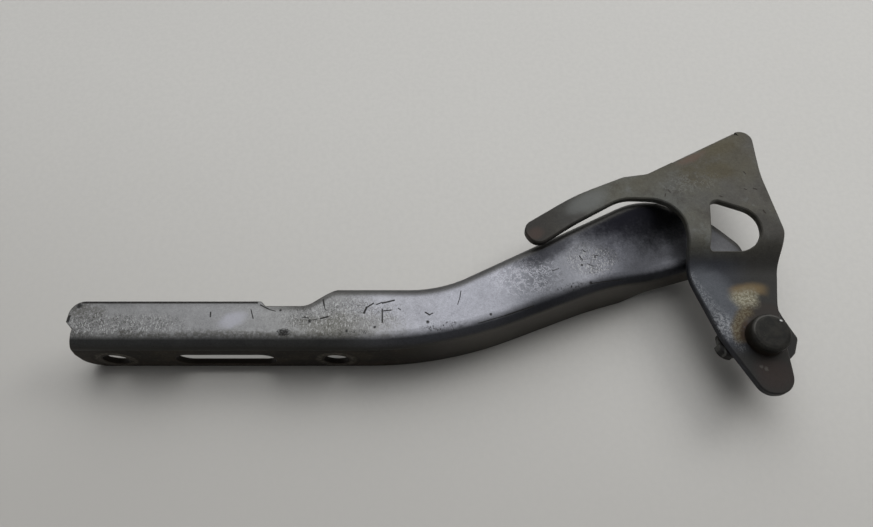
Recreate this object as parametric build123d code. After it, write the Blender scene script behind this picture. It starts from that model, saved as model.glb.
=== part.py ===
from build123d import *
import math
import os

# Hood hinge of a car, lying on its side as it comes to rest: a pressed hood arm turns on a
# riveted pivot under a body bracket. Sizes in millimetres, +Z up. The origin is on the pivot
# axis, at the height of the edges that the hinge rests on. The arm points along -X.

# Sheets and heights over the resting level
arm_sheet = 3.0
plate_sheet = 3.5
arm_height = 31.0
head_drop = 8.8
plate_gap = 1.2
end_play = 0.1

# Pivot
pin_radius = 6.0
head_radius = 9.6
head_height = 8.0
tail_radius = 8.5
tail_height = 4.0
bush_wall = 1.0
bush_flange = 0.9
bush_flange_radius = 10.5
running_clearance = 0.05
head_round = 1.3
tail_round = 1.0
washer_radius = 11.0
washer_thickness = 1.5

# Hood arm, seen from above
bend_radius = 7.0
lip_radius = 4.5
lip_depth = 6.5
arm_length = 335.4
flange_y = -5.6
burr_reach = 0.4
burr_y = 6.2
relief_depth = 3.2
relief_foot = 17.0
end_corner_radius = 7.0
web_edge_y = 16.9
notch_edge_y = 14.5
notch_left_x = -241.0
notch_right_x = -221.0
lip_start_x = -206.0
lip_edge_y = 24.6
arm_x = -117.0
arm_y = 9.2
arm_rise = 21.3
neck_x = -59.0
neck_y = 29.9
neck_rise = 16.2
shoulder_x = -127.1
shoulder_y = 39.3
shoulder_rise = 26.8
nose_x = -1.0
nose_y = 54.8
nose_fall = 46.9
knee_radius = 200.0
easing_radius = 200.0
shoulder_radius = 65.0
crown_radius = 47.5
dip_heading = -30.0
dip_start = 85.0
dip_slope = 26.0
dip_radius = 38.0

# Hood flange
flange_corner_radius = 10.0
flange_lift = 6.0
flange_lift_x = -60.0
flange_stop_x = -17.0
hole_radius = 6.5
hole_height = 10.0
hole_spacing = 110.0
hole_setback = 72.3
slot_length = 50.0
slot_width = 14.0

# Arm head round the pivot
seam_x = -17.0
seam_y = 41.0
seam_lean = 20.4
overlap = 0.6
head_left_x = -22.0
head_left_y = 34.0
waist_x = -16.6
lobe_left_x = -20.8
head_end_y = -9.4
lobe_end_y = -8.0
lobe_radius = 6.3
lobe_lip = 6.0
lobe_round = 1.5

# Body bracket
step_top_y = 53.7
step_slope = 38.0
step_radius = 13.0
edge_round = 0.6
finger_x = -45.0
finger_tip_x = -115.6
finger_tip_y = 56.2
foot_y = -27.8
foot_right_x = 9.2
side_x = 18.7
side_y = 54.5
edge_y = 113.2
edge_left_x = -46.0
edge_right_x = 15.3
edge_drop = 1.4
mount_rise = 27.8
mount_x = -13.3
mount_bend_radius = 5.0
mount_corner_radius = 6.0
mount_length = 43.0
mount_bolt_radius = 4.5
mount_bolt_spacing = 24.0
mount_bolt_height = 13.0

# Working lengths: longer than the part, to where the arm's bends are rounded, past what is cut
reach = 420.0
wall_run = 343.4
run_on = 8.0

# Places that follow
flange_end_x = -arm_length
burr_x = flange_end_x - burr_reach
hole_middle_x = flange_end_x + hole_setback

# Heights that follow
web_top = arm_height
head_top = web_top - head_drop
head_bottom = head_top - arm_sheet
plate_low_bottom = head_top + bush_flange + end_play
plate_low_top = plate_low_bottom + plate_sheet
plate_high_bottom = web_top + plate_gap
plate_high_top = plate_high_bottom + plate_sheet
bush_radius = pin_radius + running_clearance + bush_wall
washer_top = head_bottom - end_play
tail_top = washer_top - washer_thickness


def tan(degrees):
    return math.tan(math.radians(degrees))


def rounded(*corners):
    """A closed flat outline from (x, y, radius) corners."""
    points = [(x, y) for x, y, radius in corners]
    return make_face(FilletPolyline(*points, radius=[radius for x, y, radius in corners], close=True))


def prism(face, low, high):
    """A plan outline raised between two heights."""
    return extrude(Pos(0, 0, low) * face, amount=high - low)


def crossing(point_a, slope_a, point_b, slope_b):
    """The crossing of two lines in plan, each given by a point and its slope in degrees."""
    (xa, ya), (xb, yb) = point_a, point_b
    x = (yb - ya + tan(slope_a) * xa - tan(slope_b) * xb) / (tan(slope_a) - tan(slope_b))
    return x, ya + tan(slope_a) * (x - xa)


def facing(heading):
    """An upright drawing plane through the pivot: its X runs along the heading, its Y is up."""
    along = Vector(math.cos(math.radians(heading)), math.sin(math.radians(heading)), 0)
    return Plane(origin=(0, 0, 0), x_dir=along, z_dir=along.cross(Vector(0, 0, 1)))


def stepped_solid(heading, start, slope, radius, high, low, depth):
    """What lies under a sheet's upper face, which steps down from high to low along the heading."""
    lean = depth * tan(slope / 2)
    first = start + radius * tan(slope / 2) - lean
    second = first + (high - low) / tan(slope)
    profile = rounded(
        (-reach, -reach, 0),
        (reach, -reach, 0),
        (reach, low - depth, 0),
        (second, low - depth, radius + depth),
        (first, high - depth, radius - depth),
        (-reach, high - depth, 0),
    )
    return extrude(facing(heading) * profile, amount=reach, both=True)


def under_arm(depth):
    return stepped_solid(dip_heading, -dip_start, dip_slope, dip_radius, web_top, head_top, depth)


def under_plate(depth):
    return stepped_solid(-90, -step_top_y, step_slope, step_radius, plate_high_top, plate_low_top, depth)


# Hood arm. Each wall is a row of straight runs in plan, as (x, y, slope), with a radius at each turn.
flange_runs = [(0, flange_y, 0), (arm_x, arm_y, arm_rise), (neck_x, neck_y, neck_rise)]
flange_radii = [knee_radius, easing_radius]
lip_runs = [(0, lip_edge_y, 0), (shoulder_x, shoulder_y, shoulder_rise), (nose_x, nose_y, -nose_fall)]
lip_radii = [shoulder_radius, crown_radius]


def wall_line(runs, radii, shift, stop_x):
    """The plan line of a wall's face, moved to the left of its direction by a shift."""
    turns = [math.radians(slope) for x, y, slope in runs]
    moved = [
        ((x - shift * math.sin(turn), y + shift * math.cos(turn)), slope)
        for (x, y, slope), turn in zip(runs, turns)
    ]
    spare = abs(shift)
    (first, first_slope), (last, last_slope) = moved[0], moved[-1]
    left, right = -wall_run - spare, stop_x + spare
    start = (left, first[1] + tan(first_slope) * (left - first[0]))
    end = (right, last[1] + tan(last_slope) * (right - last[0]))
    corners = [crossing(*moved[i], *moved[i + 1]) for i in range(len(moved) - 1)]
    bends = []
    for i, radius in enumerate(radii):
        left_turn = runs[i + 1][2] > runs[i][2]
        bends.append(radius - shift if left_turn else radius + shift)
    return FilletPolyline(start, *corners, end, radius=bends)


def rim(block, line, low):
    """Edges of a block's upper face that run over a wall line."""
    found = []
    for edge in block.edges():
        spots = [edge @ 0, edge @ 0.5, edge @ 1]
        over = all(Vertex(spot.X, spot.Y, 0).distance_to(line) < 0.02 for spot in spots)
        if over and all(spot.Z > low for spot in spots):
            found.append(edge)
    return found


def straight_block(inset):
    """What the space under the web is on the straight stretch, which runs on past the hood end."""
    section = rounded(
        (flange_y + inset, -1, 0),
        (flange_y + inset, web_top - inset, bend_radius - inset),
        (lip_edge_y - inset, web_top - inset, lip_radius - inset),
        (lip_edge_y - inset, -1, 0),
    )
    return Pos(run_on - wall_run, 0, 0) * extrude(Plane.YZ * section, amount=wall_run - reach)


def arm_block(inset):
    """The space under the arm's web and between its walls, drawn in by a thickness."""
    low = wall_line(flange_runs, flange_radii, inset, flange_stop_x + run_on)
    high = wall_line(lip_runs, lip_radii, -inset, 0)
    ends = [Edge.make_line(low @ 0, high @ 0), Edge.make_line(low @ 1, high @ 1)]
    plan = make_face([*low.edges(), *high.edges(), *ends])
    block = prism(plan, -1, web_top + 1) & under_arm(inset)
    for line, radius in ((low, bend_radius), (high, lip_radius)):
        block = fillet(rim(block, line, head_top - inset - 1), radius - inset)
    return block + straight_block(inset)


def arm_shell():
    """The arm's sheet between its walls: the web, the hood flange at full depth and the short lip."""
    shell = arm_block(0) - arm_block(arm_sheet)
    inner_y = 2 * bend_radius
    behind_flange = rounded(
        (-reach, flange_y + inner_y, 0),
        (arm_x - knee_radius / 5, flange_y + inner_y, 0),
        (arm_x, arm_y + inner_y, 0),
        (neck_x, neck_y + inner_y, 0),
        (neck_x + reach, neck_y + tan(neck_rise) * reach + inner_y, 0),
        (-reach, reach, 0),
    )
    return shell - (prism(behind_flange, -2, web_top) & under_arm(lip_depth))


def hood_flange_side():
    """The arm seen from the front: the hood flange's end and corners, and its raised tail."""
    return rounded(
        (flange_end_x, 0, flange_corner_radius),
        (flange_lift_x, 0, flange_corner_radius),
        (flange_lift_x + 2 * flange_lift, flange_lift, flange_corner_radius),
        (0, flange_lift, 0),
        (0, 2 * web_top, 0),
        (burr_x - 1, 2 * web_top, 0),
        (burr_x - 1, web_top / 2, 0),
        (flange_end_x, web_top / 2, 0),
    )


def seam():
    """The two ends of the line in plan where the walled stretch of the arm meets its flat head."""
    high = (seam_x - tan(seam_lean) * (reach - seam_y), reach, 0)
    low = (seam_x + tan(seam_lean) * (reach + seam_y), -reach, 0)
    return high, low


def arm_outline():
    """The walled stretch of the arm in plan: sheared far edge, its step, its rise to the lip."""
    step = web_edge_y - notch_edge_y
    rise = lip_edge_y - notch_edge_y
    return rounded(
        (flange_end_x, -reach, 0),
        (flange_end_x, burr_y / 2, 0),
        (burr_x, burr_y, 0),
        (flange_end_x, web_edge_y, end_corner_radius),
        (notch_left_x - step, web_edge_y, 1),
        (notch_left_x, notch_edge_y, 1),
        (notch_right_x, notch_edge_y, rise),
        (lip_start_x, lip_edge_y, 3),
        (lip_start_x + step, lip_edge_y + step, 0),
        (lip_start_x + step, reach, 0),
        *seam(),
    )


def end_relief():
    """What the hood end's bend is drawn in by, below the burr: a wedge from the front, slanted in plan."""
    front = rounded(
        (burr_x - run_on, relief_foot, 0),
        (flange_end_x, relief_foot, 0),
        (flange_end_x + relief_depth, web_top, 0),
        (flange_end_x + relief_depth, web_top + run_on, 0),
        (burr_x - run_on, web_top + run_on, 0),
    )
    plan = rounded(
        (-reach, -reach, 0),
        (burr_x + run_on, -reach, 0),
        (burr_x + run_on, burr_y - run_on, 0),
        (burr_x, burr_y, 0),
        (-reach, burr_y, 0),
    )
    return extrude(Plane.XZ * front, amount=reach, both=True) & prism(plan, 0, web_top + run_on)


def head_outline():
    """The flat head in plan, from the seam down its left side, round the pivot and back up."""
    left = head_left_x - overlap
    past_seam = Pos(-overlap, 0, 0) * rounded(
        seam()[0],
        (seam_x, seam_y, 0),
        (left, seam_y, 0),
        (left, -reach, 0),
        (reach, -reach, 0),
        (reach, reach, 0),
    )
    shoulder, side = lip_runs[1:]
    crown = crossing(shoulder[:2], shoulder[2], side[:2], side[2])
    return past_seam & rounded(
        (crown[0] - crown_radius, crown[1] - tan(shoulder_rise) * crown_radius, 0),
        (-50.0, 45.0, 0),
        (head_left_x, 40.6, 2),
        (head_left_x, head_left_y, 10),
        (waist_x, 7.0, 2),
        (lobe_left_x, 2.5, 2),
        (lobe_left_x, lobe_end_y, lobe_radius),
        (lobe_left_x + 2 * lobe_radius, lobe_end_y, 2),
        (lobe_left_x + 3 * lobe_radius, head_end_y, 2),
        (12.0, head_end_y, 1.5),
        (15.0, -6.6, 2),
        (18.2, 1.0, 2.5),
        (13.7, 11.8, 30),
        (0.4, 53.3, 8),
        (*crown, crown_radius),
    )


def lobe():
    """The head's rounded corner with its rim turned down, and the space it takes."""
    x, y = lobe_left_x + lobe_radius, lobe_end_y + lobe_radius
    foot = Pos(x, y, head_top - lobe_lip)
    cup = foot * extrude(Circle(lobe_radius), amount=lobe_lip)
    cup = fillet(cup.edges().group_by(Axis.Z)[-1], lobe_round)
    cup -= foot * extrude(Circle(lobe_radius - arm_sheet), amount=lobe_lip - arm_sheet)
    space = Pos(x - reach / 2, y - reach / 2, 0) * Box(reach, reach, 2 * web_top)
    return cup & space, space


def hole_places():
    return hole_middle_x - hole_spacing / 2, hole_middle_x + hole_spacing / 2


def hood_arm():
    """The whole pressed arm with its hood bolt holes, its slot and its pivot eye."""
    arm = arm_shell() & prism(arm_outline(), -1, web_top + 1)
    arm &= extrude(Plane.XZ * hood_flange_side(), amount=reach, both=True)
    arm -= end_relief()
    corner, space = lobe()
    head = prism(head_outline(), 0, web_top + 1) & (under_arm(0) - under_arm(arm_sheet))
    arm += head - space
    arm += corner
    arm -= Pos(0, 0, head_bottom - 1) * extrude(Circle(bush_radius), amount=arm_sheet + 2)
    cuts = [Pos(x, hole_height) * Circle(hole_radius) for x in hole_places()]
    cuts.append(Pos(hole_middle_x, hole_height) * SlotOverall(slot_length, slot_width))
    for cut in cuts:
        arm -= Pos(0, flange_y + arm_sheet + 1, 0) * extrude(Plane.XZ * cut, amount=arm_sheet + 2)
    return arm


# Body bracket
def edge_at(x):
    """The plate's top-left edge, where the body flange turns down."""
    return edge_y + tan(mount_rise) * x


def bracket_outline():
    """The bracket's plate in plan, from the finger's tip round by its lower edge."""
    return rounded(
        (finger_tip_x, finger_tip_y, 6),
        (-107.8, 44.9, 6),
        (-88.0, 58.6, 150),
        (-61.5, 73.8, 22),
        (-30.4, 72.6, 17),
        (-30.4, 31.0, 30),
        (-20.6, 0.0, 40),
        (-5.8, foot_y, 8),
        (foot_right_x, foot_y, 9.3),
        (10.3, 17.0, 25),
        (side_x, side_y, 12),
        (14.2, 89.0, 60),
        (edge_right_x, edge_at(edge_right_x), 6),
        (edge_left_x, edge_at(edge_left_x), 8),
        (-59.0, 87.0, 8),
        (-86.0, 75.4, 120),
    )


def access_hole():
    """The D-shaped hole in plan."""
    return rounded((-15.6, 73.6, 4), (7.2, 64.7, 11), (7.2, 44.5, 11.5), (-19.9, 44.5, 2))


def on_mount(out, height):
    """A place at the middle of the body flange: its X runs out of the face, its Z is up."""
    return Pos(mount_x, edge_at(mount_x) + edge_drop, height) * Rot(0, 0, 90 + mount_rise) * Pos(out, 0, 0)


def body_flange():
    """The flange turned down from the plate's edge, with its two bolt holes."""
    top, sheet = plate_high_top, plate_sheet
    back = -mount_bend_radius - 1
    section = rounded(
        (back, top, 0),
        (0, top, mount_bend_radius),
        (0, 0, 0),
        (-sheet, 0, 0),
        (-sheet, top - sheet, mount_bend_radius - sheet),
        (back, top - sheet, 0),
    )
    flange = on_mount(0, 0) * extrude(Plane.XZ * section, amount=mount_length / 2, both=True)
    feet = [edge for edge in flange.edges() if edge.center().Z < 0.1 and edge.length < sheet + 0.1]
    flange = fillet(feet, mount_corner_radius)
    hole = Rot(0, 90, 0) * Cylinder(mount_bolt_radius, 3 * sheet)
    for side in (-1, 1):
        flange -= on_mount(0, mount_bolt_height) * Pos(0, side * mount_bolt_spacing / 2, 0) * hole
    return flange


def upper_rim(plate):
    """Edges where the plate's upper faces end, each met only once."""
    met = {}
    for face in plate.faces():
        if face.normal_at(face.center()).Z > 0.3:
            for edge in face.edges():
                spot = edge @ 0.5
                met.setdefault((round(spot.X, 2), round(spot.Y, 2), round(spot.Z, 2)), []).append(edge)
    return [edges[0] for edges in met.values() if len(edges) == 1]


def body_bracket():
    """The whole pressed bracket: plate with its step, finger, access hole and body flange."""
    sheet = under_plate(0) - under_plate(plate_sheet)
    ahead = Pos(finger_x + reach / 2, 0, 0) * Box(reach, 2 * reach, 4 * web_top)
    level = Box(reach, 2 * reach, plate_sheet)
    finger = Pos(finger_x - reach / 2, 0, plate_high_bottom + plate_sheet / 2) * level
    plan = prism(bracket_outline() - access_hole(), 0, plate_high_top + 1)
    plate = (plan & (sheet & ahead)) + (plan & finger)
    plate = chamfer(upper_rim(plate), edge_round)
    room = on_mount(reach / 2 - mount_bend_radius - 1, 0) * Box(reach, mount_length, 4 * web_top)
    plate = (plate - room) + body_flange()
    return plate - Pos(0, 0, plate_low_bottom + plate_sheet / 2) * Cylinder(pin_radius, 2 * plate_sheet)


# Pivot
def pivot_rivet():
    """The rivet through both sheets: a rounded head above, a shank and a tail below."""
    top, low, rim = plate_low_top + head_height, tail_top - tail_height, head_round
    half = Polyline(
        (0, top),
        (head_radius - 2 * rim, top - 0.1 * rim),
        (head_radius - 0.9 * rim, top - 0.4 * rim),
        (head_radius - 0.25 * rim, top - rim),
        (head_radius, top - 2 * rim),
        (head_radius, plate_low_top),
        (pin_radius, plate_low_top),
        (pin_radius, tail_top),
        (tail_radius, tail_top),
        (tail_radius, low + tail_round),
        (tail_radius - tail_round, low),
        (0, low),
        close=True,
    )
    return revolve(Plane.XZ * make_face(half), Axis.Z)


def pivot_bush():
    """The flanged bush in the arm's eye."""
    bush = Pos(0, 0, head_bottom) * extrude(Circle(bush_radius), amount=arm_sheet + bush_flange)
    bush += Pos(0, 0, head_top) * extrude(Circle(bush_flange_radius), amount=bush_flange)
    return bush - Pos(0, 0, head_bottom) * Cylinder(pin_radius + running_clearance, 4 * arm_sheet)


def thrust_washer():
    """The washer between the arm and the rivet's tail."""
    ring = Circle(washer_radius) - Circle(pin_radius)
    return Pos(0, 0, tail_top) * extrude(ring, amount=washer_thickness)


os.makedirs("parts", exist_ok=True)
pieces = {
    "hood_arm": hood_arm(),
    "body_bracket": body_bracket(),
    "pivot_rivet": pivot_rivet(),
    "pivot_bush": pivot_bush(),
    "thrust_washer": thrust_washer(),
}
for name, piece in pieces.items():
    export_step(piece, f"parts/{name}.step")
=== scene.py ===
import math

import bpy
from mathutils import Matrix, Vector

MM = 0.001

# The camera of the photograph: place in metres, tilt in degrees from straight down
PHOTO_WIDTH = 873
FOCAL_PIXELS = 640
SENSOR = 36.0
CAMERA_PLACE = (-0.1581, -0.10813, 0.31712)
CAMERA_TILT = 27.0

# The room: the direction of its brightest part, and how its light rises towards there
ROOM_BRIGHT = (0.1, 0.57, 0.81)
ROOM_LEVELS = {"From Min": 0.64, "From Max": 0.97, "To Min": 0.03, "To Max": 2.15}
ROOM_COLOUR = (0.97, 0.98, 1.0, 1)
BACKDROP = 0.5
BACKDROP_RAYS = ("Is Camera Ray", "Is Glossy Ray", "Is Transmission Ray")

WINDOW_PLACE = (1.3, 1.0, 1.3)
WINDOW_TARGET = (-0.12, 0.0, 0.0)
WINDOW_SIZE = (0.8, 0.8)
WINDOW_POWER = 11

FLOOR_SIZE = 6.0
FLOOR_HEIGHT = -0.0002

# How far a blot fades past its own size, how much of a stroke is solid, and how like the true
# direction the rounded one is beside a corner and on it
BLOT_FADE = 1.7
STROKE_CORE = 0.4
BESIDE_CORNER = 0.99
ON_CORNER = 0.84
FINE_GRIT = 0.6
DARK_STEEL = (0.010, 0.009, 0.008)

# The arm's colour by its place along X: dull at the hood end, silver in the middle, darker by the
# shoulder, dull again on the head. This is partly the coating's own tone and partly painted sheen
# and shade. The rise and fall along the web stands in for the room's reflection, and the dark
# bands by the shoulder stand in for the finger's reflection and shadow.
WEB_LENGTH = 340
WEB_TONES_AND_SHEEN = (
    (-336, (0.19, 0.19, 0.187)),
    (-262, (0.19, 0.19, 0.191)),
    (-232, (0.195, 0.195, 0.191)),
    (-206, (0.18, 0.18, 0.178)),
    (-186, (0.265, 0.266, 0.283)),
    (-150, (0.245, 0.247, 0.269)),
    (-128, (0.215, 0.217, 0.237)),
    (-106, (0.085, 0.087, 0.095)),
    (-84, (0.18, 0.182, 0.196)),
    (-70, (0.13, 0.132, 0.147)),
    (-56, (0.13, 0.132, 0.146)),
    (-42, (0.16, 0.162, 0.177)),
    (-26, (0.20, 0.202, 0.218)),
    (-14, (0.082, 0.082, 0.084)),
)

# Scratches, cracks and dents in plan, as (start, end, half width) in millimetres
WEB_MARKS = (
    ((-243.5, 15.0), (-239.5, 12.9), 0.4),
    ((-239.0, 12.6), (-236.0, 11.8), 0.25),
    ((-213.3, 17.7), (-212.7, 15.0), 0.5),
    ((-212.7, 15.0), (-211.8, 12.4), 0.3),
    ((-210.4, 8.9), (-213.8, 7.9), 0.5),
    ((-215.5, 7.6), (-217.5, 7.2), 0.2),
    ((-219.6, 8.2), (-222.4, 8.7), 0.3),
    ((-193.1, 10.9), (-192.0, 13.7), 0.7),
    ((-192.0, 13.7), (-188.8, 15.9), 0.45),
    ((-187.2, 15.3), (-184.6, 16.4), 0.35),
    ((-184.4, 16.0), (-178.8, 17.5), 0.5),
    ((-184.1, 6.1), (-184.4, 12.8), 0.45),
    ((-183.6, 12.0), (-180.2, 12.3), 0.4),
    ((-176.5, 13.3), (-175.6, 12.5), 0.3),
    ((-163.4, 11.1), (-161.5, 9.9), 0.45),
    ((-161.5, 9.9), (-160.0, 10.7), 0.35),
    ((-146.1, 22.5), (-146.6, 19.3), 0.25),
    ((-146.6, 19.3), (-147.8, 15.3), 0.2),
    ((-137.8, 5.9), (-125.1, 9.8), 0.3),
    ((-125.1, 9.8), (-110.8, 15.0), 0.4),
    ((-81.0, 27.0), (-65.0, 30.2), 0.25),
    ((-86.0, 42.0), (-84.6, 39.6), 0.3),
    ((-82.5, 37.5), (-79.5, 36.2), 0.25),
    ((-79.0, 42.5), (-76.5, 42.0), 0.25),
    ((-84.0, 45.5), (-82.8, 44.2), 0.25),
    ((-247.9, 12.6), (-246.3, 8.0), 0.3),
    ((-267.2, 11.2), (-267.0, 9.0), 0.45),
    ((-100.5, 33.5), (-97.0, 34.8), 0.2),
    # A dark line along the web's far edge.
    ((-330.0, 16.3), (-245.5, 16.3), 0.75),
    ((-334.9, 9.0), (-335.0, 6.6), 0.9),
    ((-334.6, 3.5), (-335.6, -3.0), 0.6),
)
LOBE_MARKS = (
    ((-20.6, 0.7), (-20.9, -7.8), 0.7),
    ((-18.4, -1.0), (-18.3, -8.6), 0.6),
)
PLATE_MARKS = (
    ((-39.0, 74.4), (-38.4, 76.2), 0.25),
    ((-36.6, 78.5), (-35.8, 76.9), 0.25),
    ((5.4, 90.0), (6.2, 88.8), 0.4),
    ((3.4, 79.2), (4.4, 78.8), 0.35),
    ((8.4, 79.4), (9.8, 78.9), 0.5),
    ((10.4, 65.9), (11.0, 64.4), 0.5),
    ((-10.3, 74.7), (-9.3, 74.3), 0.4),
)

# Dots on the arm's web, as (x, y, radius) in millimetres
WEB_DOTS = (
    (-162.3, 6.2, 0.8),
    (-131.9, 10.2, 0.7),
    (-81.6, 27.2, 0.8),
    (-331.5, 14.6, 1.5),
    (-233.6, 12.2, 0.6),
    (-219.0, 6.6, 0.9),
    (-85.2, 36.8, 0.6),
    (-78.2, 41.3, 0.5),
    (-187.6, 3.6, 0.7),
    (-201.0, 1.6, 0.7),
)

# The hood face's bolt holes, which have rings of wear round them
HOOD_BOLTS_X = (-318.1, -208.1)
HOOD_BOLTS_Z = 10


class Value:
    """A socket of a material's nodes, so that shader maths reads as plain expressions."""

    def __init__(self, finish, socket):
        self.finish = finish
        self.socket = socket

    def join(self, operation, first, second):
        return self.finish.node("ShaderNodeMath", {"operation": operation}, {0: first, 1: second})

    def __add__(self, other):
        return self.join("ADD", self, other)

    def __radd__(self, other):
        return self.join("ADD", other, self)

    def __sub__(self, other):
        return self.join("SUBTRACT", self, other)

    def __rsub__(self, other):
        return self.join("SUBTRACT", other, self)

    def __mul__(self, other):
        return self.join("MULTIPLY", self, other)

    def __rmul__(self, other):
        return self.join("MULTIPLY", other, self)

    def __truediv__(self, other):
        return self.join("DIVIDE", self, other)

    def __pow__(self, other):
        return self.join("POWER", self, other)

    def under(self, other):
        return self.join("MINIMUM", self, other)

    def over(self, other):
        return self.join("MAXIMUM", self, other)

    def size(self):
        return self.join("ABSOLUTE", self, 0.0)


def largest(values):
    """The largest of several values, place by place."""
    first, *rest = values
    for value in rest:
        first = first.over(value)
    return first


def distance(across, up):
    """How far a place is from a centre."""
    return (across * across + up * up) ** 0.5


def uneven(noises, amounts):
    """Noises summed round zero, each by its own amount."""
    total = 0.0
    for noise, amount in zip(noises, amounts):
        total = total + (noise - 0.5) * amount
    return total


class Finish:
    """A material laid up in layers, with places in millimetres and colours as linear light."""

    def __init__(self, name):
        self.material = bpy.data.materials.new(name)
        self.material.use_nodes = True
        self.tree = self.material.node_tree
        self.shader = self.tree.nodes["Principled BSDF"]
        self.place = self.node("ShaderNodeTexCoord", {}, {}, "Object")
        self.x, self.y, self.z = self.parts(self.place, 1 / MM)
        normal = self.node("ShaderNodeTexCoord", {}, {}, "Normal")
        _, self.facing_y, self.facing_z = self.parts(normal, 1)
        self.colour = self.rough = self.metal = self.height = 0.0

    def node(self, kind, settings, sockets, out=0):
        """A new node's output, with the node's settings and what goes into its sockets."""
        made = self.tree.nodes.new(kind)
        for key, value in settings.items():
            if key == "stops":
                ramp = made.color_ramp
                while len(ramp.elements) < len(value):
                    ramp.elements.new(0.5)
                for element, (position, colour) in zip(ramp.elements, value):
                    element.position, element.color = position, (*colour, 1)
            else:
                setattr(made, key, value)
        for key, value in sockets.items():
            self.connect(value, made.inputs[key])
        return Value(self, made.outputs[out])

    def connect(self, value, socket):
        """Links a value to a socket, or sets the socket to a plain number or colour."""
        if isinstance(value, Value):
            self.tree.links.new(value.socket, socket)
        else:
            socket.default_value = value

    def parts(self, vector, scale):
        """A vector's three numbers, scaled."""
        split = self.tree.nodes.new("ShaderNodeSeparateXYZ")
        self.connect(vector, split.inputs[0])
        return [Value(self, output) * scale for output in split.outputs]

    def ramp(self, value, low, high, to_low=0.0, to_high=1.0):
        """Smoothly from to_low where value is at low, to to_high where it is at high."""
        limits = {"From Min": low, "From Max": high, "To Min": to_low, "To Max": to_high}
        smooth = {"interpolation_type": "SMOOTHSTEP"}
        return self.node("ShaderNodeMapRange", smooth, {"Value": value, **limits})

    def near(self, value, middle, far, close):
        """1 where value is within close of middle, 0 where it is more than far from it."""
        return self.ramp((value - middle).size(), far, close)

    def noise(self, grain, detail=3.0, rough=0.55, shift=(0, 0, 0), stretch=(1, 1, 1)):
        """Noise whose blotches are about grain millimetres wide."""
        place = {"Vector": self.place, "Location": shift, "Scale": stretch}
        moved = self.node("ShaderNodeMapping", {}, place)
        look = {"Scale": 1 / (grain * MM), "Detail": detail, "Roughness": rough}
        return self.node("ShaderNodeTexNoise", {}, {"Vector": moved, **look})

    def mix(self, amount, first, second):
        """The first colour where amount is 0, the second where it is 1."""
        sockets = {0: amount}
        for index, colour in ((6, first), (7, second)):
            sockets[index] = colour if isinstance(colour, Value) else (*colour, 1)
        return self.node("ShaderNodeMix", {"data_type": "RGBA"}, sockets, 2)

    def times(self, colour, factor):
        """A colour made lighter or darker by a factor."""
        sockets = {0: colour, "Scale": factor}
        return self.node("ShaderNodeVectorMath", {"operation": "SCALE"}, sockets)

    def blot(self, x, y, half_x, half_y, wobble, turn=0.0):
        """A soft patch round a place in plan, with an uneven edge, turned by degrees."""
        angle = math.radians(turn)
        across, up = self.x - x, self.y - y
        along = (across * math.cos(angle) + up * math.sin(angle)) / half_x
        beside = (up * math.cos(angle) - across * math.sin(angle)) / half_y
        return self.ramp(along * along + beside * beside + wobble, BLOT_FADE, 0.0)

    def stroke(self, start, end, width):
        """A thin mark between two places in plan."""
        (x, y), (end_x, end_y) = start, end
        length = math.hypot(end_x - x, end_y - y)
        along_x, along_y = (end_x - x) / length, (end_y - y) / length
        across, up = self.x - x, self.y - y
        along = across * along_x + up * along_y
        beside = (up * along_x - across * along_y).size()
        past = (along - length / 2).size() - length / 2
        return self.ramp(beside.over(past), width, width * STROKE_CORE)

    def strokes(self, marks):
        """All the thin marks of a list."""
        return largest([self.stroke(*mark) for mark in marks])

    def rounded(self, radius, samples=6):
        """The surface's direction, with its corners rounded to a radius in millimetres."""
        return self.node("ShaderNodeBevel", {"samples": samples}, {"Radius": radius * MM})

    def edges(self, width):
        """Where a corner of the shape is near, 1 on it and 0 away from it."""
        true = self.node("ShaderNodeNewGeometry", {}, {}, "True Normal")
        sockets = {0: self.rounded(width), 1: true}
        alike = self.node("ShaderNodeVectorMath", {"operation": "DOT_PRODUCT"}, sockets, "Value")
        return self.ramp(alike, BESIDE_CORNER, ON_CORNER)

    def shift(self, mask, **amounts):
        """Changes the surface's rough, metal or height by an amount where mask is 1."""
        for name, amount in amounts.items():
            setattr(self, name, getattr(self, name) + mask * amount)

    def lay(self, mask, colour, strength=1.0, **amounts):
        """Lays a colour where mask is 1, at a strength, and changes the surface with it."""
        self.colour = self.mix(mask * strength, self.colour, colour)
        self.shift(mask, **amounts)

    def complete(self, depth, edge=0.0, shine=0.5):
        """Joins the layers to the shader, with a height of 1 as depth millimetres of relief."""
        self.connect(self.colour, self.shader.inputs["Base Color"])
        self.connect(self.rough, self.shader.inputs["Roughness"])
        self.connect(self.metal, self.shader.inputs["Metallic"])
        self.connect(shine, self.shader.inputs["Specular IOR Level"])
        relief = {"Height": self.height, "Distance": depth * MM, "Strength": 1.0}
        if edge:
            relief["Normal"] = self.rounded(edge)
        self.connect(self.node("ShaderNodeBump", {}, relief), self.shader.inputs["Normal"])
        return self.material


class Coating(Finish):
    """A worn coating, with the noises that its marks share, from broad blotches to grit."""

    def __init__(self, name, broad, cloud, grain, mottling, wobbling):
        super().__init__(name)
        self.broad = self.noise(broad, 4, 0.6)
        self.cloud = self.noise(cloud, 5, 0.65)
        self.grain = self.noise(grain, 4, 0.7)
        self.fine = self.noise(FINE_GRIT, 3, 0.7)
        noises = (self.broad, self.cloud, self.grain, self.fine)
        self.mottle = 1.0 + uneven(noises, mottling)
        self.wobble = uneven((self.cloud, self.grain), wobbling)

    def mottled(self, colour):
        """A colour made uneven by all the noises."""
        return self.times(colour, self.mottle)

    def patch(self, x, y, half_x, half_y, turn=0.0, spread=1.0):
        """A soft patch whose edge is made uneven by the coating's own noise."""
        return self.blot(x, y, half_x, half_y, self.wobble * spread, turn)


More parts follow.
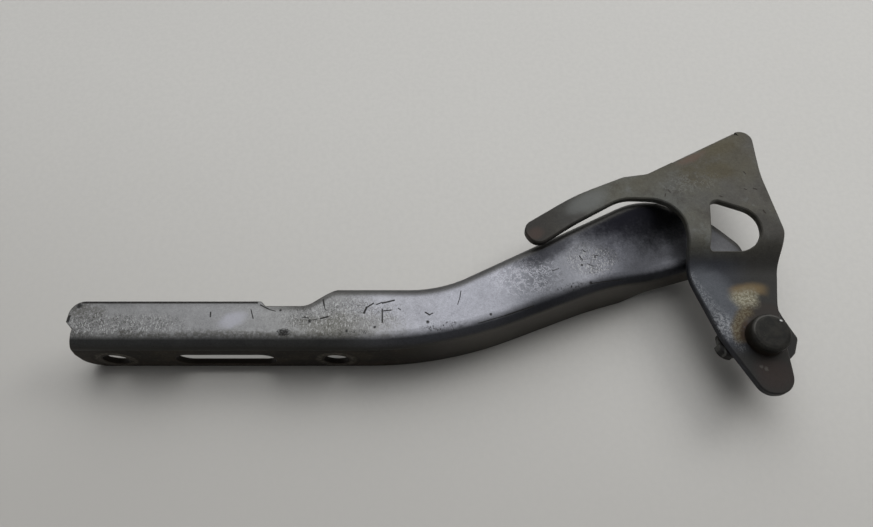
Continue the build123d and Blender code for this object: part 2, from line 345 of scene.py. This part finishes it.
def scuff_web(f, web, ticks):
    """The web's pale and dark grit, a net of pale scratches and scattered specks."""
    f.lay(f.patch(-256, 7.6, 7.0, 3.8, 20, 1.3), (0.33, 0.33, 0.37), 0.5)

    hood_end = f.patch(-326, 6, 10, 9).over(f.patch(-310, 3.5, 32, 7) * 0.8)
    notch = f.patch(-205, 8.5, 26, 11) * 0.75
    shoulder = f.patch(-80, 40, 12, 9) * 0.6
    zone = largest((hood_end, notch, shoulder)) * web
    f.lay(f.patch(-200, 3.0, 24, 8) * web, (0.12, 0.115, 0.09), 0.5)
    f.lay(zone * f.ramp(ticks, 0.52, 0.62), (0.45, 0.45, 0.44), 0.9)
    grit = f.ramp(f.fine + (f.cloud - 0.5) * 0.3, 0.48, 0.38)
    f.lay(zone * grit, (0.045, 0.042, 0.036), 0.9)
    f.shift(zone, rough=0.12, metal=-0.35)
    f.shift(zone * f.fine, height=0.3)

    corner = f.patch(-330, 12, 11, 5) * web
    fringe = f.patch(-262, -1.5, 82, 3.2, 0, 1.2) * web
    f.lay(corner.over(fringe) * f.ramp(f.grain, 0.62, 0.45), (0.07, 0.066, 0.055), 0.6)

    threads = f.near(f.noise(4.5, 5, 0.8, (0, 0, 0.3)), 0.5, 0.028, 0.004)
    f.lay(threads * f.patch(-117, 32, 20, 11) * web, (0.42, 0.42, 0.45), 0.6)
    specks = f.ramp(f.fine, 0.68, 0.76) * f.ramp(f.broad, 0.42, 0.6)
    f.lay(specks * web, (0.07, 0.066, 0.06), 0.7)


def shade_and_soil_arm(f, front):
    """Painted shadow by the finger and under the bracket, painted shade on the lip and the bend,
    a front face that is partly dust and partly painted shade, and grime on the head.
    """
    # Painted shadow: dark patches on the web under the finger, under the bracket's edge and by
    # the head, where the bracket shades the arm.
    finger = f.patch(-101, 46, 20, 6, 27, 0.7) * 0.75
    bracket_shadow = f.patch(-54, 68, 46, 21, 14, 0.4)
    head = f.patch(-30, 54, 22, 16, 0, 0.4) * 0.35
    f.lay(largest((finger, bracket_shadow, head)), (0.0065, 0.0065, 0.0085), metal=0.1)

    to_part = {"vector_type": "NORMAL", "convert_from": "WORLD", "convert_to": "OBJECT"}
    around = f.node("ShaderNodeVectorTransform", to_part, {0: f.rounded(5, samples=8)})
    backward = f.parts(around, 1)[1] + (f.grain - 0.5) * 0.05
    # Painted shade: the backward-facing lip is darkened where it faces the dim part of the room,
    # fully from about x -215 towards the head.
    lip = f.ramp(backward, 0.03, 0.2) * f.ramp(f.x, -250, -215, 0.25, 1.0)
    lip_shade = f.mix(f.broad, (0.035, 0.033, 0.030), (0.06, 0.058, 0.052))
    f.lay(lip, f.mottled(lip_shade), 0.85, metal=-0.3)

    # Painted shade: the bend that faces the near side is darkened, bluer further along, where it
    # reflects the dim side of the room.
    bend = f.ramp(f.facing_y, -0.28, -0.6)
    dark = f.mix(f.ramp(f.x, -210, -150), (0.0125, 0.0125, 0.0118), (0.0085, 0.009, 0.0115))
    f.lay(bend, f.mottled(dark), 0.85, rough=0.08)
    # The front face's colour is partly dust and partly painted shade.
    dust_and_shade = f.mix(f.ramp(f.x, -185, -130), (0.017, 0.015, 0.012), (0.088, 0.080, 0.067))
    f.lay(front, f.mottled(dust_and_shade), 0.85)
    head = f.ramp(distance(f.x, f.y) + f.wobble * 2, 34, 26)
    f.lay(head, (0.014, 0.013, 0.0115), 0.92, rough=0.15, metal=-0.4)
    f.lay(f.strokes(LOBE_MARKS) * f.ramp(f.grain, 0.35, 0.5), (0.13, 0.13, 0.12), 0.6)


def bare_hood_face(f, front):
    """The hood face below the coating's edge: bare and brown, ringed round its bolt holes, its
    brown darkened further with painted shade.
    """
    stain = f.noise(14, 5, 0.65, stretch=(0.5, 1, 1))
    # Painted shade: the bare brown is set darker than the steel's own colour, to carry the face's
    # shade.
    bare = f.mix(f.ramp(stain, 0.4, 0.6), (0.009, 0.007, 0.0045), (0.026, 0.020, 0.013))
    bare = f.mix(f.ramp(f.grain, 0.5, 0.72) * 0.35, bare, (0.085, 0.074, 0.055))
    for x in HOOD_BOLTS_X:
        away = distance(f.x - x, f.z - HOOD_BOLTS_Z)
        rubbed = f.near(away, 8.6, 2.0, 0.6) * f.ramp(f.grain, 0.35, 0.6)
        bare = f.mix(rubbed * 0.7, bare, (0.115, 0.105, 0.085))
        bare = f.mix(f.near(away, 11.4, 1.0, 0.2) * 0.7, bare, (0.010, 0.007, 0.005))
    below = f.ramp(f.z + (f.grain - 0.5) * 2, 24.2, 22.8) * f.ramp(f.x, -150, -186)
    f.lay(below * front, f.mottled(bare), rough=0.25, metal=-0.6)


def mark_web(f, ticks):
    """Scratches, cracks, chips and dots that show dark steel."""
    dots = [f.blot(x, y, size, size, (f.fine - 0.5) * 2) for x, y, size in WEB_DOTS]
    lower_edge = (
        f.blot(-91.5, 24.4, 8, 2.4, 0.0, 14),
        f.blot(-154, 3.8, 11, 2.4, 0.0, 5),
        f.blot(-197, 1.0, 9, 1.6, 0.0),
    )
    chips = f.ramp(ticks, 0.56, 0.62) * largest(lower_edge)
    marks = largest((f.strokes(WEB_MARKS), *dots, chips))
    marks = marks * f.ramp(f.fine, 0.30, 0.42) * f.ramp(f.facing_z, 0.1, 0.4)
    marks = marks.over(f.blot(-231.0, 0.8, 3.0, 1.8, (f.fine - 0.5) * 5))
    f.lay(marks, DARK_STEEL, metal=-0.6, height=-0.8)


def arm_finish():
    """Silver-grey coating over steel, scuffed along the web, brown and bare on the hood face,
    with painted sheen and shade along the web, lip, bend and front.
    """
    f = Coating("arm_coating", 26, 9, 1.5, (0.5, 0.6, 0.55, 0.9), (1.8, 1.2))
    ticks = f.noise(1.6, 3, 0.75, (0.1, 0, 0), (2.6, 1, 1))
    walls = f.ramp(f.z, 24, 22) * f.ramp(f.x, -150, -170) * f.ramp(f.facing_y.size(), 0.6, 0.3)
    web = f.ramp(f.facing_z, 0.8, 0.97) * (1.0 - walls)
    front = f.ramp(f.facing_y, -0.82, -0.96) * f.ramp(f.z, 29, 24)

    # The web's tone table, with its painted sheen and shade, laid along X
    stops = [((x + WEB_LENGTH) / WEB_LENGTH, tone) for x, tone in WEB_TONES_AND_SHEEN]
    along = (f.x + WEB_LENGTH) / WEB_LENGTH
    f.colour = f.mottled(f.node("ShaderNodeValToRGB", {"stops": stops}, {0: along}))
    f.rough = 0.28 + f.cloud * 0.16 + f.fine * 0.08
    f.metal = 0.9
    f.height = f.cloud * 0.5 + f.grain * 0.14

    scuff_web(f, web, ticks)
    shade_and_soil_arm(f, front)
    bare_hood_face(f, front)
    f.lay(walls, (0.012, 0.010, 0.008))
    mark_web(f, ticks)
    f.lay(f.edges(1.0) * f.ramp(f.cloud, 0.25, 0.45), (0.04, 0.032, 0.024), 0.85)
    return f.complete(0.12, 0.35, 0.3)


def darken_finger(f):
    """The finger darkens towards its tip, with a cool patch, a smudge and browned places."""
    f.lay(f.ramp(f.x + f.wobble * 5, -72, -104), f.mottled((0.017, 0.014, 0.0118)), 0.85)
    f.lay(f.patch(-89, 62, 8, 4, 25), (0.036, 0.034, 0.031), 0.55)
    f.lay(f.patch(-80, 71, 12, 4.5, 28), (0.15, 0.155, 0.148), 0.5)
    f.lay(f.patch(-108, 52.5, 5, 3.5, 25), (0.072, 0.044, 0.034), 0.5)


def stain_plate(f, top):
    """Brown and olive stains at the back edge and on the plate, a smear and a pale line."""
    back_edge = f.patch(-22, 99, 48, 7, 27.8) * 0.55 + f.patch(-2, 98, 16, 14, 20) * 0.5
    middle = f.patch(-17.8, 88, 12, 7, 10, 1.2) * f.ramp(f.grain, 0.35, 0.6, 0.35, 0.9)
    brown = back_edge + middle + f.patch(-6.5, 91.5, 6.5, 5, 0, 1.2) * 0.5
    f.lay(brown.under(1.0) * top, f.mottled((0.076, 0.065, 0.038)), 0.9)
    f.lay(f.patch(-20.6, 99.5, 9, 2.8, 27) * top, (0.115, 0.07, 0.05), 0.6)
    threads = f.near(f.noise(5, 4, 0.75, (0.1, 0, 0)), 0.5, 0.03, 0.0)
    f.lay(threads * f.patch(-24, 83, 17, 6, 8), (0.19, 0.19, 0.175), 0.6)


def brighten_lower_edge(f, top):
    """A glossier bluish zone below the step, its pale colour partly a painted sheen, and
    sparkling wear along the lower left edge.
    """
    # Painted sheen: the bluish zone is lighter than the plate round it, standing in for its
    # reflection of the sky; it is also made glossier.
    pale = f.patch(-19, 22, 17, 10, -55).over(f.patch(-13.5, 12, 8, 12)) * top
    f.lay(pale, f.mottled((0.115, 0.123, 0.134)), 0.55, rough=-0.06, metal=0.2)
    rim = f.stroke((-29.5, 31.5), (-12.5, -5.0), 3.4) * f.ramp(f.fine, 0.48, 0.62) * 0.7
    core = f.patch(-19.0, 7.5, 5.5, 10, 25) * f.ramp(f.grain + f.fine * 0.5, 0.66, 0.84)
    f.lay(rim.over(core) * top, (0.27, 0.275, 0.28), 0.55, rough=-0.08, metal=0.3)


def stain_pivot(f, top):
    """Salt, rust and grime that ran round the rivet's head."""
    away = distance(f.x, f.y)
    turn = f.x.join("ARCTAN2", f.x * -1.0, f.y)
    trace = f.ramp(away + f.wobble, 20.0, 17.5) * f.ramp(f.x, -9, -3)
    f.lay(trace * top, (0.027, 0.022, 0.018), 0.92)

    ring = f.near(away + f.wobble, 25.6, 4.6, 0.8) * f.near(turn, 0.1, 0.46, 0.2)
    salt = f.near(away + f.wobble * 1.6, 21.0, 7.0, 1.5) * f.near(turn, 0.24, 0.4, 0.12)
    run = f.near(away + turn * 2.0 + f.wobble, 15.5, 4.4, 1.0) * f.near(turn, 1.0, 0.95, 0.55)
    run_colour = f.mix(f.ramp(f.grain, 0.4, 0.6), (0.075, 0.05, 0.022), (0.125, 0.10, 0.055))
    f.lay(ring * top, (0.15, 0.105, 0.05), 0.88)
    f.lay(salt * top, (0.18, 0.158, 0.10), 0.9)
    f.lay(run * top, run_colour, 0.85)
    f.shift(salt.over(run) * top, rough=0.2, metal=-0.25)

    grit = f.ramp(f.grain, 0.42, 0.6) * 0.6 + f.ramp(f.fine, 0.5, 0.62) * 0.5
    crust = grit * salt.over(run * 0.12) * top
    f.lay(crust.under(1.0), (0.45, 0.43, 0.34), 0.9)
    f.shift(crust, height=0.6)
    rust = f.near(away, 10.2, 2.6, 0.8) * f.near(turn, 1.2, 0.8, 0.3) * top
    f.lay(rust * f.ramp(f.grain, 0.3, 0.5), (0.042, 0.022, 0.011), 0.85)


def stain_tab(f, top):
    """The tab below the pivot is stained brown, with two small pale specks."""
    tab = f.ramp(f.y, -2, -11).over(f.patch(15, 0, 8, 11) * 0.8) * top
    stain = f.mix(f.patch(0.4, -18, 9, 8), (0.016, 0.015, 0.0125), (0.024, 0.016, 0.013))
    f.lay(tab, f.mottled(stain), 0.9)
    ragged = (f.grain - 0.5) * 4
    specks = f.blot(-5.1, -14.6, 0.9, 0.8, ragged).over(f.blot(-3.0, -15.7, 0.9, 1.1, ragged))
    f.lay(specks * top, (0.13, 0.125, 0.11), 0.35)


def bracket_finish():
    """Thin matt warm grey, browned at the back, worn bright at the lower left edge, and yellow by
    the pivot, with painted shade on the slope's right and a painted sheen below the step."""
    f = Coating("bracket_coating", 30, 8, 1.4, (0.6, 0.7, 0.6, 0.9), (2.0, 1.4))
    top = f.ramp(f.facing_z, 0.5, 0.85)
    f.rough = 0.44 + f.cloud * 0.2 + f.fine * 0.08
    f.metal = 0.3
    f.height = f.cloud * 0.5 + f.grain * 0.3

    f.colour = f.mix(f.ramp(f.x, 10, -60), (0.083, 0.078, 0.067), (0.096, 0.097, 0.086))
    f.lay(f.ramp(f.broad, 0.42, 0.6), (0.078, 0.073, 0.052), 0.45)
    f.lay(f.ramp(f.cloud, 0.55, 0.7), (0.12, 0.125, 0.118), 0.5)
    f.lay(f.ramp(f.cloud, 0.46, 0.33), (0.056, 0.050, 0.040), 0.55)
    lower = f.mix(f.ramp(f.x, 4, -16), (0.022, 0.021, 0.019), (0.026, 0.028, 0.035))
    f.lay(f.ramp(f.y, 48, 38), lower, 0.95)
    f.colour = f.mottled(f.colour)
    # Painted shade: the right of the step's slope is darkened where it faces away from the light.
    f.lay(f.patch(14, 52, 13, 14, 0, 0.5) * top, f.mottled((0.030, 0.028, 0.025)), 0.6)

    darken_finger(f)
    stain_plate(f, top)
    brighten_lower_edge(f, top)
    stain_pivot(f, top)
    stain_tab(f, top)

    marks = f.strokes(PLATE_MARKS) * f.ramp(f.fine, 0.3, 0.45) * top
    pits = f.ramp(f.fine, 0.68, 0.76) * f.ramp(f.cloud, 0.48, 0.65)
    f.lay(marks.over(pits * 0.6), (0.03, 0.023, 0.018))
    f.shift(marks, height=-1.0)
    f.lay(f.edges(0.9), (0.03, 0.026, 0.022), 0.6)
    return f.complete(0.12, 0.3, 0.3)


def rivet_finish():
    """Dark browned steel, with a painted highlight on the head's rim and a painted glint by it.
    """
    f = Finish("browned_steel")
    cloud = f.noise(4, 4, 0.65)
    grain = f.noise(0.8, 3, 0.6)
    top = f.ramp(f.facing_z, 0.5, 0.9)
    f.rough = 0.5 + cloud * 0.15
    f.metal = 0.35
    f.height = cloud * 0.8 + grain * 0.3

    f.colour = f.mix(f.ramp(cloud, 0.35, 0.65), (0.009, 0.0085, 0.007), (0.022, 0.0205, 0.0165))
    f.lay(f.ramp(grain, 0.6, 0.7) * f.ramp(f.x, 2, -6) * top, (0.07, 0.066, 0.058), 0.4)
    # Painted highlight: the head's rim is lightened on its far side, where it catches the light.
    rim = f.near(distance(f.x, f.y), 8.4, 0.7, 0.2) * f.ramp(f.y - f.x * 0.5, 2, 7)
    f.lay(rim * f.ramp(cloud, 0.3, 0.5) * top, (0.12, 0.115, 0.105), 0.6)
    rusty = f.ramp(f.z, 33.0, 28.5) * f.ramp(f.facing_z, 0.6, 0.2)
    f.lay(rusty, (0.020, 0.012, 0.007), 0.6)
    # Painted glint: a small bright spot by the head's top rim.
    painted_glint = f.blot(5.4, 5.6, 0.8, 0.5, (grain - 0.5) * 2)
    f.lay(painted_glint * top, (0.6, 0.6, 0.58), 0.9)
    return f.complete(0.12, 0.4, 0.25)


def plain_metal(name, dark, light, rough):
    """Dull machined metal with faint turning marks round the pivot."""
    f = Finish(name)
    cloud = f.noise(4, 3, 0.6)
    rings = {"W": distance(f.x, f.y), "Scale": 5.0, "Detail": 2.0}
    turned = f.node("ShaderNodeTexNoise", {"noise_dimensions": "1D"}, rings)
    f.colour = f.mix(f.ramp(cloud * 0.6 + turned * 0.4, 0.35, 0.65), dark, light)
    f.rough = rough + cloud * 0.15
    f.metal = 0.8
    f.height = turned
    return f.complete(0.03, 0.2)


def table_finish():
    """A pale, faintly uneven table top, a little lighter towards its far right."""
    f = Finish("pale_table")
    cloud = f.noise(60, 3)
    grain = f.noise(3, 3, 0.6)
    far = f.ramp(f.x * 0.25 + f.y, -230, 130)
    f.colour = f.mix(far, (0.50, 0.483, 0.450), (0.675, 0.66, 0.622))
    f.lay(f.ramp(grain, 0.3, 0.7) * 0.15 + cloud * 0.1, (0.50, 0.49, 0.46))
    f.rough = 0.6
    f.height = grain
    return f.complete(0.02)


def dress(frame):
    """Gives each piece its finish."""
    brass = plain_metal("dull_brass", (0.30, 0.22, 0.11), (0.42, 0.33, 0.18), 0.4)
    steel = plain_metal("dull_steel", (0.22, 0.21, 0.20), (0.34, 0.33, 0.31), 0.42)
    finishes = {
        "hood_arm": arm_finish(),
        "body_bracket": bracket_finish(),
        "pivot_rivet": rivet_finish(),
        "pivot_bush": brass,
        "thrust_washer": steel,
    }
    for node, material in finishes.items():
        mesh = frame["nodes"][node].data
        mesh.materials.clear()
        mesh.materials.append(material)


def set_camera():
    """The photograph's viewpoint: over the hinge, tipped a little towards its far side."""
    camera = bpy.data.objects.new("camera", bpy.data.cameras.new("camera"))
    camera.data.sensor_width = SENSOR
    camera.data.lens = FOCAL_PIXELS * SENSOR / PHOTO_WIDTH
    camera.data.clip_start = 0.01
    camera.location = CAMERA_PLACE
    camera.rotation_euler = (math.radians(CAMERA_TILT), 0, 0)
    bpy.context.scene.collection.objects.link(camera)
    bpy.context.scene.camera = camera


def set_window():
    """A soft light from the right and behind, which casts no glint of its own."""
    lamp = bpy.data.lights.new("side_window", "AREA")
    lamp.shape = "RECTANGLE"
    lamp.size, lamp.size_y = WINDOW_SIZE
    lamp.energy = WINDOW_POWER
    light = bpy.data.objects.new("side_window", lamp)
    light.location = WINDOW_PLACE
    towards = Vector(WINDOW_TARGET) - light.location
    light.rotation_euler = towards.to_track_quat("-Z", "Y").to_euler()
    light.visible_glossy = False
    bpy.context.scene.collection.objects.link(light)


def set_floor():
    """The table top, just under the lowest piece."""
    bpy.ops.mesh.primitive_plane_add(size=FLOOR_SIZE, location=(0, 0, FLOOR_HEIGHT))
    floor = bpy.context.object
    floor.name = "floor"
    floor.data.materials.append(table_finish())


def set_world():
    """Soft room light: dim walls, brighter towards the ceiling, before a pale backdrop."""
    world = bpy.data.worlds.new("room")
    bpy.context.scene.world = world
    world.use_nodes = True
    nodes, links = world.node_tree.nodes, world.node_tree.links
    place = nodes.new("ShaderNodeTexCoord")
    tip = nodes.new("ShaderNodeVectorMath")
    tip.operation = "DOT_PRODUCT"
    tip.inputs[1].default_value = Vector(ROOM_BRIGHT).normalized()
    links.new(place.outputs["Generated"], tip.inputs[0])
    shade = nodes.new("ShaderNodeMapRange")
    shade.interpolation_type = "SMOOTHSTEP"
    for name, value in ROOM_LEVELS.items():
        shade.inputs[name].default_value = value
    links.new(tip.outputs["Value"], shade.inputs["Value"])
    ray = nodes.new("ShaderNodeLightPath")
    level = shade.outputs[0]
    for kind in BACKDROP_RAYS:
        seen = nodes.new("ShaderNodeMath")
        seen.operation = "MULTIPLY"
        seen.inputs[1].default_value = BACKDROP
        lighter = nodes.new("ShaderNodeMath")
        lighter.operation = "MAXIMUM"
        links.new(ray.outputs[kind], seen.inputs[0])
        links.new(seen.outputs[0], lighter.inputs[0])
        links.new(level, lighter.inputs[1])
        level = lighter.outputs[0]
    back = nodes["Background"]
    links.new(level, back.inputs["Strength"])
    back.inputs["Color"].default_value = ROOM_COLOUR


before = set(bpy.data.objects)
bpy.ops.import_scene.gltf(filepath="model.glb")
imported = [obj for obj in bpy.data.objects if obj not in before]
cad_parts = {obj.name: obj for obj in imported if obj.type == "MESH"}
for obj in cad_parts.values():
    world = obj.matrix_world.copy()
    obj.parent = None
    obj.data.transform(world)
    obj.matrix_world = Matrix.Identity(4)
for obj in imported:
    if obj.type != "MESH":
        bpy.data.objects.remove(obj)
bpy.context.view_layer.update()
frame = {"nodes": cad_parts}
bpy.context.scene.view_settings.view_transform = "Standard"
dress(frame)
set_floor()
set_world()
set_camera()
set_window()
